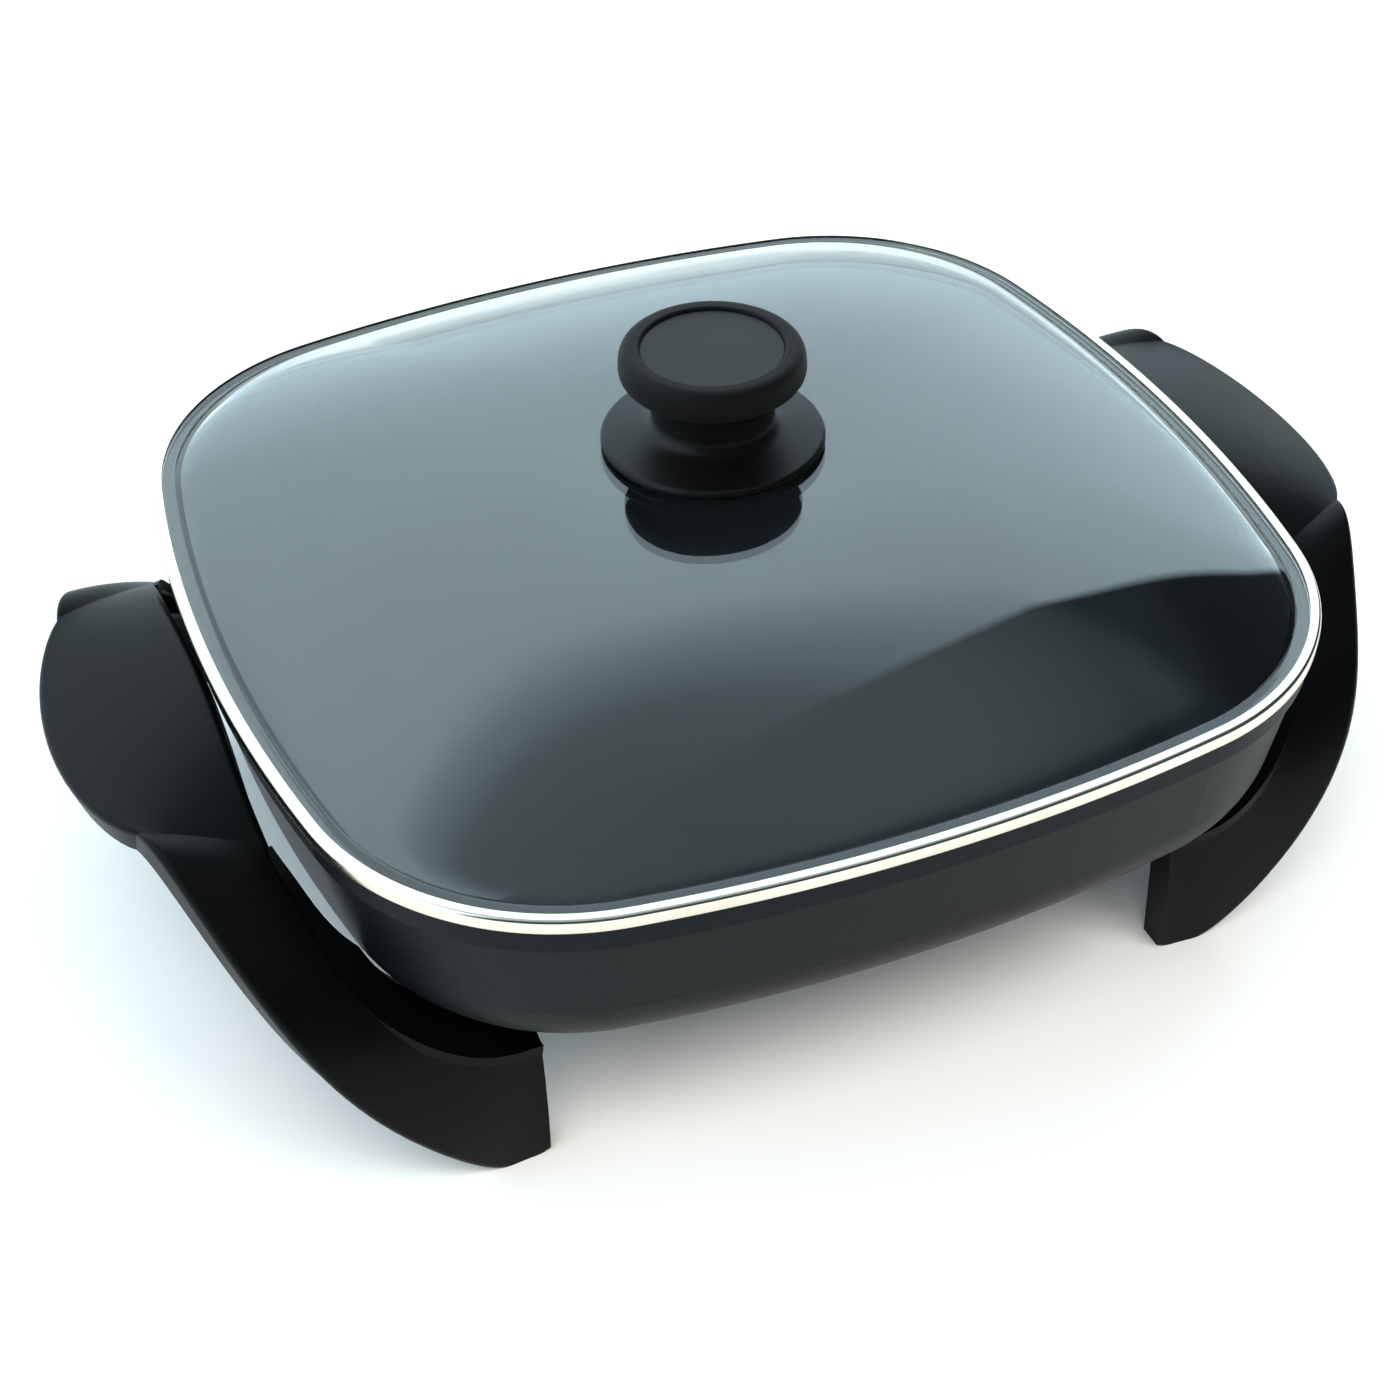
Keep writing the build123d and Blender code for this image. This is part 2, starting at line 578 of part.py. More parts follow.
# ---------------------------------------------------------------- lid
KNOB_LAND = (KNOB_LAND_R, KNOB_LAND_R, KNOB_LAND_R + KNOB_LAND_BOW,
             KNOB_LAND_R + KNOB_LAND_BOW, KNOB_LAND_R - KNOB_LAND_CORNER)


def dome(first_inset, drop):
    """Solid dome through parallel outlines that turn into the round land under the knob."""
    sections = []
    for share, rise in DOME_LEVELS:
        inset = first_inset if share == 0 else SHOULDER_INSET
        level = GLASS_FLAT_Z + rise * DOME_RISE - (GLASS_EDGE if share == 0 else GLASS_T) * drop
        with BuildSketch(Plane.XY.offset(level)) as face:
            draw_outline(*blend(parallel(inset), KNOB_LAND, share))
        sections.append(face.sketch)
    return lofted(sections)


with BuildPart() as lid_glass:
    with BuildSketch(Plane.XY.offset(GLASS_BASE_Z)):
        draw_outline(*parallel(STEEL_T))
    extrude(amount=GLASS_EDGE)
    add(dome(SHOULDER_INSET, 0))
    add(dome(SHOULDER_INSET + SHOULDER_STEP, 1), mode=Mode.SUBTRACT)
    with Locations((0, 0, KNOB_Z)):
        Hole(GLASS_HOLE_R)
lid_glass.part.label = "lid_glass"
export_step(lid_glass.part, "parts/lid_glass.step")

with BuildPart() as lid_rim:
    with BuildSketch(Plane.XY.offset(LID_BASE_Z)):
        draw_outline(*parallel(0))
        draw_outline(*parallel(STEEL_GRIP), mode=Mode.SUBTRACT)
    extrude(amount=LID_RIM_Z - LID_BASE_Z)
    top_edges = lid_rim.faces().sort_by(Axis.Z)[-1].outer_wire().edges()
    fillet(top_edges, radius=STEEL_ROUND)
    with BuildSketch(Plane.XY.offset(GLASS_BASE_Z)):
        draw_outline(*parallel(STEEL_T))
    extrude(amount=GLASS_EDGE, mode=Mode.SUBTRACT)
lid_rim.part.label = "lid_rim"
export_step(lid_rim.part, "parts/lid_rim.step")

with BuildPart() as knob_flange:
    with BuildSketch(Plane.XZ):
        with BuildLine():
            bottom = Line((KNOB_SCREW_R + KNOB_FIT, KNOB_Z), (FLANGE_R - FLANGE_NOSE, KNOB_Z))
            rim = ThreePointArc(bottom @ 1, (FLANGE_R, KNOB_Z + FLANGE_T / 2),
                                (FLANGE_R - FLANGE_NOSE, KNOB_Z + FLANGE_T))
            slope = Line(rim @ 1, (NECK_R + NECK_SPREAD, KNOB_Z + FLANGE_T + FLANGE_SLOPE))
            neck = Spline(slope @ 1, (NECK_R, GRIP_Z), tangents=(slope % 1, (0, 1)))
            Line(neck @ 1, (KNOB_SCREW_R + KNOB_FIT, GRIP_Z))
            Line((KNOB_SCREW_R + KNOB_FIT, GRIP_Z), bottom @ 0)
        make_face()
    revolve(axis=Axis.Z)
knob_flange.part.label = "knob_flange"
export_step(knob_flange.part, "parts/knob_flange.step")

with BuildPart() as knob_grip:
    with BuildSketch(Plane.XZ):
        with BuildLine():
            foot = Line((0, GRIP_Z), (GRIP_FOOT_R, GRIP_Z))
            shank = Line(foot @ 1, (SHANK_R, GRIP_Z + SHANK_HEIGHT))
            step = Line(shank @ 1, (SHANK_R + SHANK_STEP, GRIP_Z + SHANK_HEIGHT))
            side = Spline(step @ 1, (GRIP_R, GRIP_Z + GRIP_WIDEST),
                          tangents=((1, 0.25), (0, 1)))
            top = Spline(side @ 1, (CAP_R + GRIP_LIP, GRIP_TOP_Z), tangents=((0, 1), (-1, 0)))
            lip = Line(top @ 1, (CAP_R + CAP_FIT + LIP_ROUND, GRIP_TOP_Z))
            bevel = TangentArc(lip @ 1, (CAP_R + CAP_FIT, GRIP_TOP_Z - LIP_ROUND),
                               tangent=(-1, 0))
            wall = Line(bevel @ 1, (CAP_R + CAP_FIT, CAP_Z - CAP_T))
            floor = Line(wall @ 1, (0, CAP_Z - CAP_T))
            Line(floor @ 1, foot @ 0)
        make_face()
    revolve(axis=Axis.Z)
    with Locations((0, 0, GRIP_Z)):
        Cylinder(KNOB_SCREW_R + KNOB_FIT, KNOB_SCREW_DEPTH, mode=Mode.SUBTRACT,
                 align=(Align.CENTER, Align.CENTER, Align.MIN))
knob_grip.part.label = "knob_grip"
export_step(knob_grip.part, "parts/knob_grip.step")

with BuildPart() as knob_cap:
    add(round_piece(CAP_R, CAP_Z - CAP_T, CAP_Z, [(0, 0)]))
    fillet(knob_cap.faces().sort_by(Axis.Z)[-1].edges(), radius=CAP_EDGE)
knob_cap.part.label = "knob_cap"
export_step(knob_cap.part, "parts/knob_cap.step")

GLASS_UNDER_Z = KNOB_Z - GLASS_T
WASHER_TOP_Z = GLASS_UNDER_Z - GASKET_T
SCREW_SEAT_Z = WASHER_TOP_Z - KNOB_WASHER_T

with BuildPart() as knob_gasket:
    add(round_piece(GASKET_R, WASHER_TOP_Z, GLASS_UNDER_Z, [(0, 0)], KNOB_SCREW_R + KNOB_FIT))
    add(round_piece(GLASS_HOLE_R, GLASS_UNDER_Z, KNOB_Z, [(0, 0)], KNOB_SCREW_R + KNOB_FIT))
knob_gasket.part.label = "knob_gasket"
export_step(knob_gasket.part, "parts/knob_gasket.step")

with BuildPart() as knob_washer:
    add(round_piece(KNOB_WASHER_R, SCREW_SEAT_Z, WASHER_TOP_Z, [(0, 0)],
                    KNOB_SCREW_R + KNOB_FIT))
knob_washer.part.label = "knob_washer"
export_step(knob_washer.part, "parts/knob_washer.step")

with BuildPart() as knob_screw:
    add(screw([(0, 0)], SCREW_SEAT_Z, KNOB_HEAD_R, KNOB_HEAD_T, KNOB_SCREW_R,
              GRIP_Z + KNOB_SCREW_DEPTH - KNOB_FIT - SCREW_SEAT_Z))
knob_screw.part.label = "knob_screw"
export_step(knob_screw.part, "parts/knob_screw.step")
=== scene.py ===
# %% [markdown]
# # An electric skillet, looks and light
#
# The object is a deep cast pan with a heating element under its floor. Two black mouldings,
# each a handle and two legs in one, carry it. A domed glass lid in a steel rim lies on top.
#
# The solid model fixes every size and place. This script dresses it: it gives each piece its
# finish, and rebuilds the pieces whose surface has to be finer than the solid model's.

# %% Load the frame
import math

import bmesh
import bpy
import numpy as np
from mathutils import Matrix, Vector


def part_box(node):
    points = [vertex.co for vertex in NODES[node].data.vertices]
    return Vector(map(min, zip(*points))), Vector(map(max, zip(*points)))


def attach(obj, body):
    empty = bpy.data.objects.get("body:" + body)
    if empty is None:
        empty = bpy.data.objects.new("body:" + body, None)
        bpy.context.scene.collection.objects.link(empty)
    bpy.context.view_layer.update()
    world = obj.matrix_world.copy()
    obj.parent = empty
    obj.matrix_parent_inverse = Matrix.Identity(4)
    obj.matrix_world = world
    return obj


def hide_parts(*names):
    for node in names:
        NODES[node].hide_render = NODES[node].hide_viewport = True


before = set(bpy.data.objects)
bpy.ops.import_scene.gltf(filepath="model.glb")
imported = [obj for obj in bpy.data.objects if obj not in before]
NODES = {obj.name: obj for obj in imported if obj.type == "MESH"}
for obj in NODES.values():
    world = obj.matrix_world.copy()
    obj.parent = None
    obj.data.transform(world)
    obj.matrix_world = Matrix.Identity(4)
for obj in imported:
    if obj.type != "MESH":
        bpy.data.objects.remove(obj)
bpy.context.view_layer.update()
MM = 0.001
print("pieces in the frame:", len(NODES))

# %% [markdown]
# ## Places read from the frame
#
# A node's box gives its lowest and highest corner. The lid's rim is the widest level outline,
# so its half sizes are the sizes that the glass and the rim are drawn from.

# %% Read the places
RIM_LOW, RIM_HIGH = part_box("lid_rim")
GLASS_LOW, GLASS_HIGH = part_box("lid_glass")
KNOB_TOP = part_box("knob_grip")[1].z
LID_HALF_X, LID_HALF_Y = RIM_HIGH.x, RIM_HIGH.y
print(f"lid {2 * LID_HALF_X / MM:.1f} x {2 * LID_HALF_Y / MM:.1f} mm, "
      f"knob top at {KNOB_TOP / MM:.1f} mm")

# %% [markdown]
# ## Camera
#
# The view is from the front left and well above, as one looks down at a pan on a worktop.
# A long lens keeps the outline of the lid calm. The camera turns a little about its own
# axis, because a hand-framed shot is never quite level.

# %% Place the camera
CAMERA_PLACE = Vector((-0.2362, -0.5542, 0.5470))
CAMERA_AIM = Vector((-0.0371, -0.0764, 0.1179))
CAMERA_LENS = 64.35
CAMERA_ROLL = math.radians(-0.85)

camera_data = bpy.data.cameras.new("camera")
camera_data.lens = CAMERA_LENS
camera_data.sensor_width = 36.0
camera = bpy.data.objects.new("camera", camera_data)
bpy.context.scene.collection.objects.link(camera)
facing = (CAMERA_AIM - CAMERA_PLACE).to_track_quat("-Z", "Y").to_matrix().to_4x4()
camera.matrix_world = Matrix.Translation(CAMERA_PLACE) @ facing @ Matrix.Rotation(CAMERA_ROLL, 4, "Z")
bpy.context.scene.camera = camera
bpy.context.scene.view_settings.view_transform = "Standard"
print("camera distance to its aim:", round((CAMERA_AIM - CAMERA_PLACE).length, 3), "m")

# %% [markdown]
# ## Colours and nodes
#
# Colours are written as hex values, as a paint card gives them. Blender computes in linear
# light, so one function converts them. Another adds a node with its settings and links, which
# keeps each finish short enough to read in one go.

# %% Helpers for finishes
def colour(hex_code):
    """Linear colour with alpha from an sRGB hex code such as #1A1C1F."""
    channels = [int(hex_code[i:i + 2], 16) / 255 for i in (1, 3, 5)]
    linear = [c / 12.92 if c <= 0.04045 else ((c + 0.055) / 1.055) ** 2.4 for c in channels]
    return (*linear, 1.0)


def add_node(tree, kind, settings=None, links=None):
    """Adds a node. Settings are attributes or input values, links are input: source socket."""
    node = tree.nodes.new(kind)
    for key, value in (settings or {}).items():
        if isinstance(key, str) and hasattr(node, key):
            setattr(node, key, value)
        else:
            node.inputs[key].default_value = value
    for key, source in (links or {}).items():
        tree.links.new(source, node.inputs[key])
    return node


def new_finish(name, settings):
    """Material with one Principled shader, and the object coordinates for its patterns."""
    material = bpy.data.materials.new(name)
    material.use_nodes = True
    tree = material.node_tree
    shader = tree.nodes["Principled BSDF"]
    for key, value in settings.items():
        shader.inputs[key].default_value = value
    place = add_node(tree, "ShaderNodeTexCoord").outputs["Object"]
    return material, tree, shader, place


def link(tree, source, node, key):
    """Links one socket to an input."""
    tree.links.new(source, node.inputs[key])


print("black phenolic in linear light:", [round(c, 4) for c in colour("#1A1C1F")])

# %% [markdown]
# ## Non-stick coating
#
# The pan is die-cast aluminium with a sprayed non-stick coating. The coating is a dark
# blue-grey resin with mica flakes: tiny bright points that differ in size, and a surface that
# is satin and not glossy. A Voronoi pattern gives the flakes, each cell with its own strength.
# Real flakes are about 0.2 mm. They are drawn 0.5 mm apart so that they show.

# %% Coated aluminium
def coated_aluminium():
    """Satin dark coating with mica flakes."""
    material, tree, shader, place = new_finish("coated_aluminium", {
        "Metallic": 0.0, "Roughness": 0.47, "IOR": 1.5, "Specular IOR Level": 0.12})
    flakes = add_node(tree, "ShaderNodeTexVoronoi", {"Scale": 1 / (0.5 * MM)}, {"Vector": place})
    strength = add_node(tree, "ShaderNodeSeparateColor", links={"Color": flakes.outputs["Color"]})
    near = add_node(tree, "ShaderNodeMapRange", {"From Min": 0.45, "From Max": 0.05},
                    {"Value": flakes.outputs["Distance"]})
    bright = add_node(tree, "ShaderNodeMapRange", {"From Min": 0.35, "From Max": 1.0},
                      {"Value": strength.outputs["Red"]})
    glint = add_node(tree, "ShaderNodeMath", {"operation": "MULTIPLY"},
                     {0: near.outputs["Result"], 1: bright.outputs["Result"]})
    cloud = add_node(tree, "ShaderNodeTexNoise", {"Scale": 1 / (35 * MM), "Detail": 3.0},
                     {"Vector": place})
    resin = add_node(tree, "ShaderNodeMix", {"data_type": "RGBA", 6: colour("#06090C"),
                                             7: colour("#0A0E12")},
                     {0: cloud.outputs["Fac"]})
    coat = add_node(tree, "ShaderNodeMix", {"data_type": "RGBA", 7: colour("#232A33")},
                    {0: glint.outputs["Value"], 6: resin.outputs[2]})
    satin = add_node(tree, "ShaderNodeMapRange", {"To Min": 0.46, "To Max": 0.36},
                     {"Value": glint.outputs["Value"]})
    grain = add_node(tree, "ShaderNodeBump", {"Strength": 0.12, "Distance": 0.05 * MM},
                     {"Height": flakes.outputs["Distance"]})
    link(tree, coat.outputs[2], shader, "Base Color")
    link(tree, satin.outputs["Result"], shader, "Roughness")
    link(tree, grain.outputs["Normal"], shader, "Normal")
    return material


COATED_ALUMINIUM = coated_aluminium()
print("finish:", COATED_ALUMINIUM.name)

# %% [markdown]
# ## Black mouldings
#
# The handles and legs are compression-moulded phenolic, a hard black plastic that stands
# heat. It leaves the mould with a fine even satin, and handling polishes it unevenly, so the
# roughness drifts a little over some centimetres. The knob's grip is coated with a soft-touch
# lacquer: more matt, with a faint sheen at its edge.

# %% Phenolic and soft-touch plastic
def moulded_plastic(name, dark, light, rough, gloss, grain_mm, sheen=0.0):
    """Moulded black plastic: fine grain, and slow changes of gloss and tone."""
    material, tree, shader, place = new_finish(name, {
        "IOR": 1.5, "Specular IOR Level": gloss, "Sheen Weight": sheen, "Sheen Roughness": 0.5})
    slow = add_node(tree, "ShaderNodeTexNoise", {"Scale": 1 / (28 * MM), "Detail": 4.0},
                    {"Vector": place})
    tone = add_node(tree, "ShaderNodeMix", {"data_type": "RGBA", 6: colour(dark),
                                            7: colour(light)}, {0: slow.outputs["Fac"]})
    gloss_change = add_node(tree, "ShaderNodeMapRange",
                            {"To Min": rough - 0.05, "To Max": rough + 0.06},
                            {"Value": slow.outputs["Fac"]})
    fine = add_node(tree, "ShaderNodeTexNoise", {"Scale": 1 / (grain_mm * MM), "Detail": 2.0},
                    {"Vector": place})
    grain = add_node(tree, "ShaderNodeBump", {"Strength": 0.10, "Distance": 0.04 * MM},
                     {"Height": fine.outputs["Fac"]})
    link(tree, tone.outputs[2], shader, "Base Color")
    link(tree, gloss_change.outputs["Result"], shader, "Roughness")
    link(tree, grain.outputs["Normal"], shader, "Normal")
    return material


PHENOLIC = moulded_plastic("phenolic_moulding", "#040405", "#070809", 0.38, 0.09, 0.5)
FLANGE_PLASTIC = moulded_plastic("phenolic_flange", "#050505", "#080808", 0.38, 0.18, 0.4)
SOFT_TOUCH = moulded_plastic("soft_touch_lacquer", "#070708", "#0B0B0C", 0.58, 0.12, 0.3, 0.03)
CAP_PLASTIC = moulded_plastic("matt_inlay", "#0F1011", "#141516", 0.50, 0.20, 0.3, 0.03)
print("finishes:", PHENOLIC.name, SOFT_TOUCH.name, CAP_PLASTIC.name)

# %% [markdown]
# ## Bare metals
#
# The lid's rim is stainless steel strip, rolled round the glass. Rolling leaves fine lines
# along the strip, so a noise stretched along one direction changes the roughness. Screws and
# pins are plated: brighter, with a faint mottle. The element's sheath has gone straw-brown
# and dull from heat.

# %% Metals
def worked_metal(name, tint, shade, rough, spread, grain_mm, stretch):
    """Metal with a directional grain: spread is the change of roughness across the grain."""
    material, tree, shader, place = new_finish(name, {"Metallic": 1.0})
    along = add_node(tree, "ShaderNodeMapping", {"Scale": stretch}, {"Vector": place})
    lines = add_node(tree, "ShaderNodeTexNoise", {"Scale": 1 / (grain_mm * MM), "Detail": 3.0},
                     {"Vector": along.outputs["Vector"]})
    slow = add_node(tree, "ShaderNodeTexNoise", {"Scale": 1 / (40 * MM), "Detail": 2.0},
                    {"Vector": place})
    tone = add_node(tree, "ShaderNodeMix", {"data_type": "RGBA", 6: colour(tint),
                                            7: colour(shade)}, {0: slow.outputs["Fac"]})
    grain = add_node(tree, "ShaderNodeMapRange", {"To Min": rough - spread,
                                                  "To Max": rough + spread},
                     {"Value": lines.outputs["Fac"]})
    bump = add_node(tree, "ShaderNodeBump", {"Strength": 0.06, "Distance": 0.02 * MM},
                    {"Height": lines.outputs["Fac"]})
    link(tree, tone.outputs[2], shader, "Base Color")
    link(tree, grain.outputs["Result"], shader, "Roughness")
    link(tree, bump.outputs["Normal"], shader, "Normal")
    return material


RIM_STEEL = worked_metal("rolled_stainless", "#E9E4DA", "#D9CDBB", 0.17, 0.05, 0.25, (1, 1, 14))
PLATED_STEEL = worked_metal("zinc_plated_steel", "#C9C8C4", "#B4B3AE", 0.30, 0.08, 0.6, (1, 1, 1))
GUARD_STEEL = worked_metal("sheet_steel", "#B9B8B5", "#A3A29F", 0.34, 0.08, 0.5, (0.08, 1, 1))
NICKEL = worked_metal("nickel_plate", "#D9D6CE", "#CFCBC2", 0.16, 0.04, 0.8, (0.2, 1, 1))
SHEATH_STEEL = worked_metal("heated_sheath_steel", "#8A7F72", "#6C645C", 0.42, 0.10, 1.2, (1, 1, 1))
print("metals:", RIM_STEEL.name, PLATED_STEEL.name, NICKEL.name)

# %% [markdown]
# ## Glass, ceramic and silicone
#
# The lid is tempered soda-lime glass: clear, faintly green, with a very smooth surface. The
# bushes round the pins are steatite, a white unglazed ceramic. The gasket under the knob is
# a milky silicone ring.

# %% Glass, ceramic and silicone
def tempered_glass():
    """Clear glass with a faint green cast and the slight waviness of bent sheet."""
    material, tree, shader, place = new_finish("tempered_glass", {
        "Base Color": colour("#E6F0EE"), "Roughness": 0.0, "IOR": 1.52,
        "Transmission Weight": 1.0})
    wave = add_node(tree, "ShaderNodeTexNoise", {"Scale": 1 / (90 * MM), "Detail": 1.0},
                    {"Vector": place})
    bump = add_node(tree, "ShaderNodeBump", {"Strength": 0.04, "Distance": 1.0 * MM},
                    {"Height": wave.outputs["Fac"]})
    link(tree, bump.outputs["Normal"], shader, "Normal")
    return material


def pressed_ceramic():
    """Unglazed white ceramic with specks."""
    material, tree, shader, place = new_finish("steatite", {"Roughness": 0.55, "IOR": 1.6})
    specks = add_node(tree, "ShaderNodeTexNoise", {"Scale": 1 / (0.7 * MM), "Detail": 4.0},
                      {"Vector": place})
    tone = add_node(tree, "ShaderNodeMix", {"data_type": "RGBA", 6: colour("#E3DDD0"),
                                            7: colour("#F2EEE4")}, {0: specks.outputs["Fac"]})
    link(tree, tone.outputs[2], shader, "Base Color")
    return material


def milky_silicone():
    """Soft translucent ring: light goes a little way in."""
    material, tree, shader, place = new_finish("milky_silicone", {
        "Roughness": 0.45, "IOR": 1.41, "Subsurface Weight": 0.3, "Subsurface Scale": 2 * MM})
    dust = add_node(tree, "ShaderNodeTexNoise", {"Scale": 1 / (3 * MM)}, {"Vector": place})
    tone = add_node(tree, "ShaderNodeMix", {"data_type": "RGBA", 6: colour("#CFCBC2"),
                                            7: colour("#DEDBD3")}, {0: dust.outputs["Fac"]})
    link(tree, tone.outputs[2], shader, "Base Color")
    return material


GLASS = tempered_glass()
CERAMIC = pressed_ceramic()
SILICONE = milky_silicone()
print("finishes:", GLASS.name, CERAMIC.name, SILICONE.name)

# %% [markdown]
# ## The outline that the lid is drawn from
#
# The lid is a square with bowed sides and round corners: six tangent arcs in each half. Every
# other level line of the lid runs parallel to it or turns towards the round land under the
# knob. So one rule, the distance from the middle to such an outline in a given direction, is
# enough to draw the glass ring by ring.

# %% Outline rule
SIDE_BOW_X = 467 * MM
SIDE_BOW_Y = 523 * MM
CORNER_R = 78 * MM


def parallel(inset):
    """Half sizes, bow radii and corner radius of the outline at a distance inside the lid's."""
    return np.array([LID_HALF_X, LID_HALF_Y, SIDE_BOW_X, SIDE_BOW_Y, CORNER_R]) - inset


ROUND_BOW = 1.15            # bow radius of a nearly round outline, as a share of its radius
ROUND_CORNER = 0.9          # and its corner radius


def round_outline(radius):
    """The same five sizes for what is nearly a circle."""
    return radius * np.array([1, 1, ROUND_BOW, ROUND_BOW, ROUND_CORNER])


def circle_reach(centre, radius, way):
    """Distance from the middle, along way, to the far side of a circle."""
    along = float(np.dot(centre, way))
    return along + math.sqrt(radius ** 2 - float(np.dot(centre, centre)) + along ** 2)


def outline_reach(sizes, angle):
    """Distance from the middle to an outline in the direction of angle."""
    half_x, half_y, bow_x, bow_y, corner_r = sizes
    side_y = np.array([0, half_y - bow_y])
    side_x = np.array([half_x - bow_x, 0])
    gap = side_x - side_y
    length = np.linalg.norm(gap)
    along = ((bow_y - corner_r) ** 2 - (bow_x - corner_r) ** 2 + length ** 2) / (2 * length)
    across = math.sqrt((bow_y - corner_r) ** 2 - along ** 2)
    unit = gap / length
    corner = side_y + unit * along + np.array([unit[1], -unit[0]]) * across
    end_y = corner + (corner - side_y) / np.linalg.norm(corner - side_y) * corner_r
    end_x = corner + (corner - side_x) / np.linalg.norm(corner - side_x) * corner_r
    way = np.array([abs(math.cos(angle)), abs(math.sin(angle))])
    turn = math.atan2(way[1], way[0])
    if turn > math.atan2(end_y[1], end_y[0]):
        return circle_reach(side_y, bow_y, way)
    if turn < math.atan2(end_x[1], end_x[0]):
        return circle_reach(side_x, bow_x, way)
    return circle_reach(corner, corner_r, way)


print("corner reach:", round(outline_reach(parallel(0), math.radians(45)) / MM, 1), "mm")


# %% Rings into a mesh
def ringed_mesh(name, rings, steps, closed):
    """Mesh through rings of (outline sizes, height), stitched in order."""
    angles = [2 * math.pi * i / steps for i in range(steps)]
    points = []
    for sizes, height in rings:
        reach = [outline_reach(sizes, angle) for angle in angles]
        points += [(r * math.cos(a), r * math.sin(a), height) for r, a in zip(reach, angles)]
    faces = []
    last = len(rings) if closed else len(rings) - 1
    for row in range(last):
        after = (row + 1) % len(rings)
        for i in range(steps):
            j = (i + 1) % steps
            faces.append((row * steps + i, row * steps + j, after * steps + j, after * steps + i))
    mesh = bpy.data.meshes.new(name)
    mesh.from_pydata(points, [], faces)
    return mesh


def finish_piece(name, mesh, material, body, replaced):
    """Object with outward normals and smooth shading, tied to its body, in place of the nodes that it
    replaces.
    """
    work = bmesh.new()
    work.from_mesh(mesh)
    bmesh.ops.recalc_face_normals(work, faces=work.faces)
    work.to_mesh(mesh)
    work.free()
    mesh.shade_smooth()
    mesh.materials.clear()
    mesh.materials.append(material)
    piece = bpy.data.objects.new(name, mesh)
    bpy.context.scene.collection.objects.link(piece)
    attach(piece, body)
    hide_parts(*replaced)
    print(f"{name}: {len(mesh.polygons)} faces")
    return piece


# %% [markdown]
# ## The glass dome
#
# Bent glass has no sharp corners. A flat edge is held in the rim, a shoulder 1.4 mm high
# turns it up, and from there the height follows a parabola to the flat land under the knob.
# The inside follows the outside at the thickness of the sheet. A ring mesh shows the rule
# best, and its even quads keep the reflections clean.

# %% Make the glass
GLASS_EDGE = 3.6 * MM
GLASS_SHEET = 3.8 * MM
SHOULDER_INSET = 7.0 * MM
SHOULDER_SHARE = 0.05
SHOULDER_RUN = 0.03
LAND_R = 36 * MM
HOLE_R = 5.5 * MM
EDGE_STEEL = 0.5 * MM
EDGE_ROUND = 0.7 * MM       # seamed edge of the sheet
SHOULDER_WIDEN = 1.6 * MM   # inside of the shoulder to its outside
FLAT_INSETS = (5.8 * MM, 4.0 * MM)
UNDER_INSET = 6.0 * MM
LAND_INNER = 0.6            # ring on the land, as a share of its radius
DOME_RINGS = 56
EDGE_RINGS = 6
DOME_STEPS = 320
FLAT_Z = GLASS_LOW.z + GLASS_EDGE
DOME_RISE = GLASS_HIGH.z - FLAT_Z


def dome_rise(share):
    """Height of the dome as a share of its rise: a parabola on a small shoulder."""
    shoulder = SHOULDER_SHARE * (1 - math.exp(-share / SHOULDER_RUN))
    return 1 - (1 - share) ** 2 * (1 - shoulder)


def dome_ring(share, inset, drop):
    """Ring of the dome: inset widens the wall at its foot, drop lowers the inside."""
    sizes = parallel(SHOULDER_INSET + inset) * (1 - share) + round_outline(LAND_R) * share
    return sizes, FLAT_Z + dome_rise(share) * DOME_RISE - drop


def glass_mesh():
    """Closed shell of the lid's glass, from the hole over the edge and back inside."""
    shares = [0.5 * (1 - math.cos(math.pi * i / DOME_RINGS)) for i in range(DOME_RINGS + 1)]
    turns = [math.pi / 2 * i / EDGE_RINGS for i in range(EDGE_RINGS + 1)]
    outside = [dome_ring(share, 0, 0) for share in reversed(shares)]
    inside = [dome_ring(share, SHOULDER_WIDEN, GLASS_SHEET) for share in shares]
    edge = [(parallel(inset), FLAT_Z) for inset in FLAT_INSETS]
    edge += [(parallel(EDGE_STEEL + EDGE_ROUND * (1 - math.sin(turn))),
              FLAT_Z - EDGE_ROUND * (1 - math.cos(turn))) for turn in turns]
    edge += [(parallel(EDGE_STEEL + EDGE_ROUND * (1 - math.cos(turn))),
              GLASS_LOW.z + EDGE_ROUND * (1 - math.sin(turn))) for turn in turns]
    edge.append((parallel(UNDER_INSET), GLASS_LOW.z))
    land = [round_outline(LAND_R * LAND_INNER), round_outline(HOLE_R)]
    land_in = [(sizes, GLASS_HIGH.z - GLASS_SHEET) for sizes in land]
    land_out = [(sizes, GLASS_HIGH.z) for sizes in reversed(land)]
    return ringed_mesh("lid_dome", land_out + outside + edge + inside + land_in, DOME_STEPS, True)


finish_piece("lid_dome", glass_mesh(), GLASS, "lid", ["lid_glass"])

# %% [markdown]
# ## A tree that sweeps a section
#
# The steel rim is one section carried along one line, the edge of the glass. Geometry Nodes
# do that with a small tree. The piece's own mesh is the line, and an input names the object
# that holds the section, so the same tree serves any rolled or drawn piece.

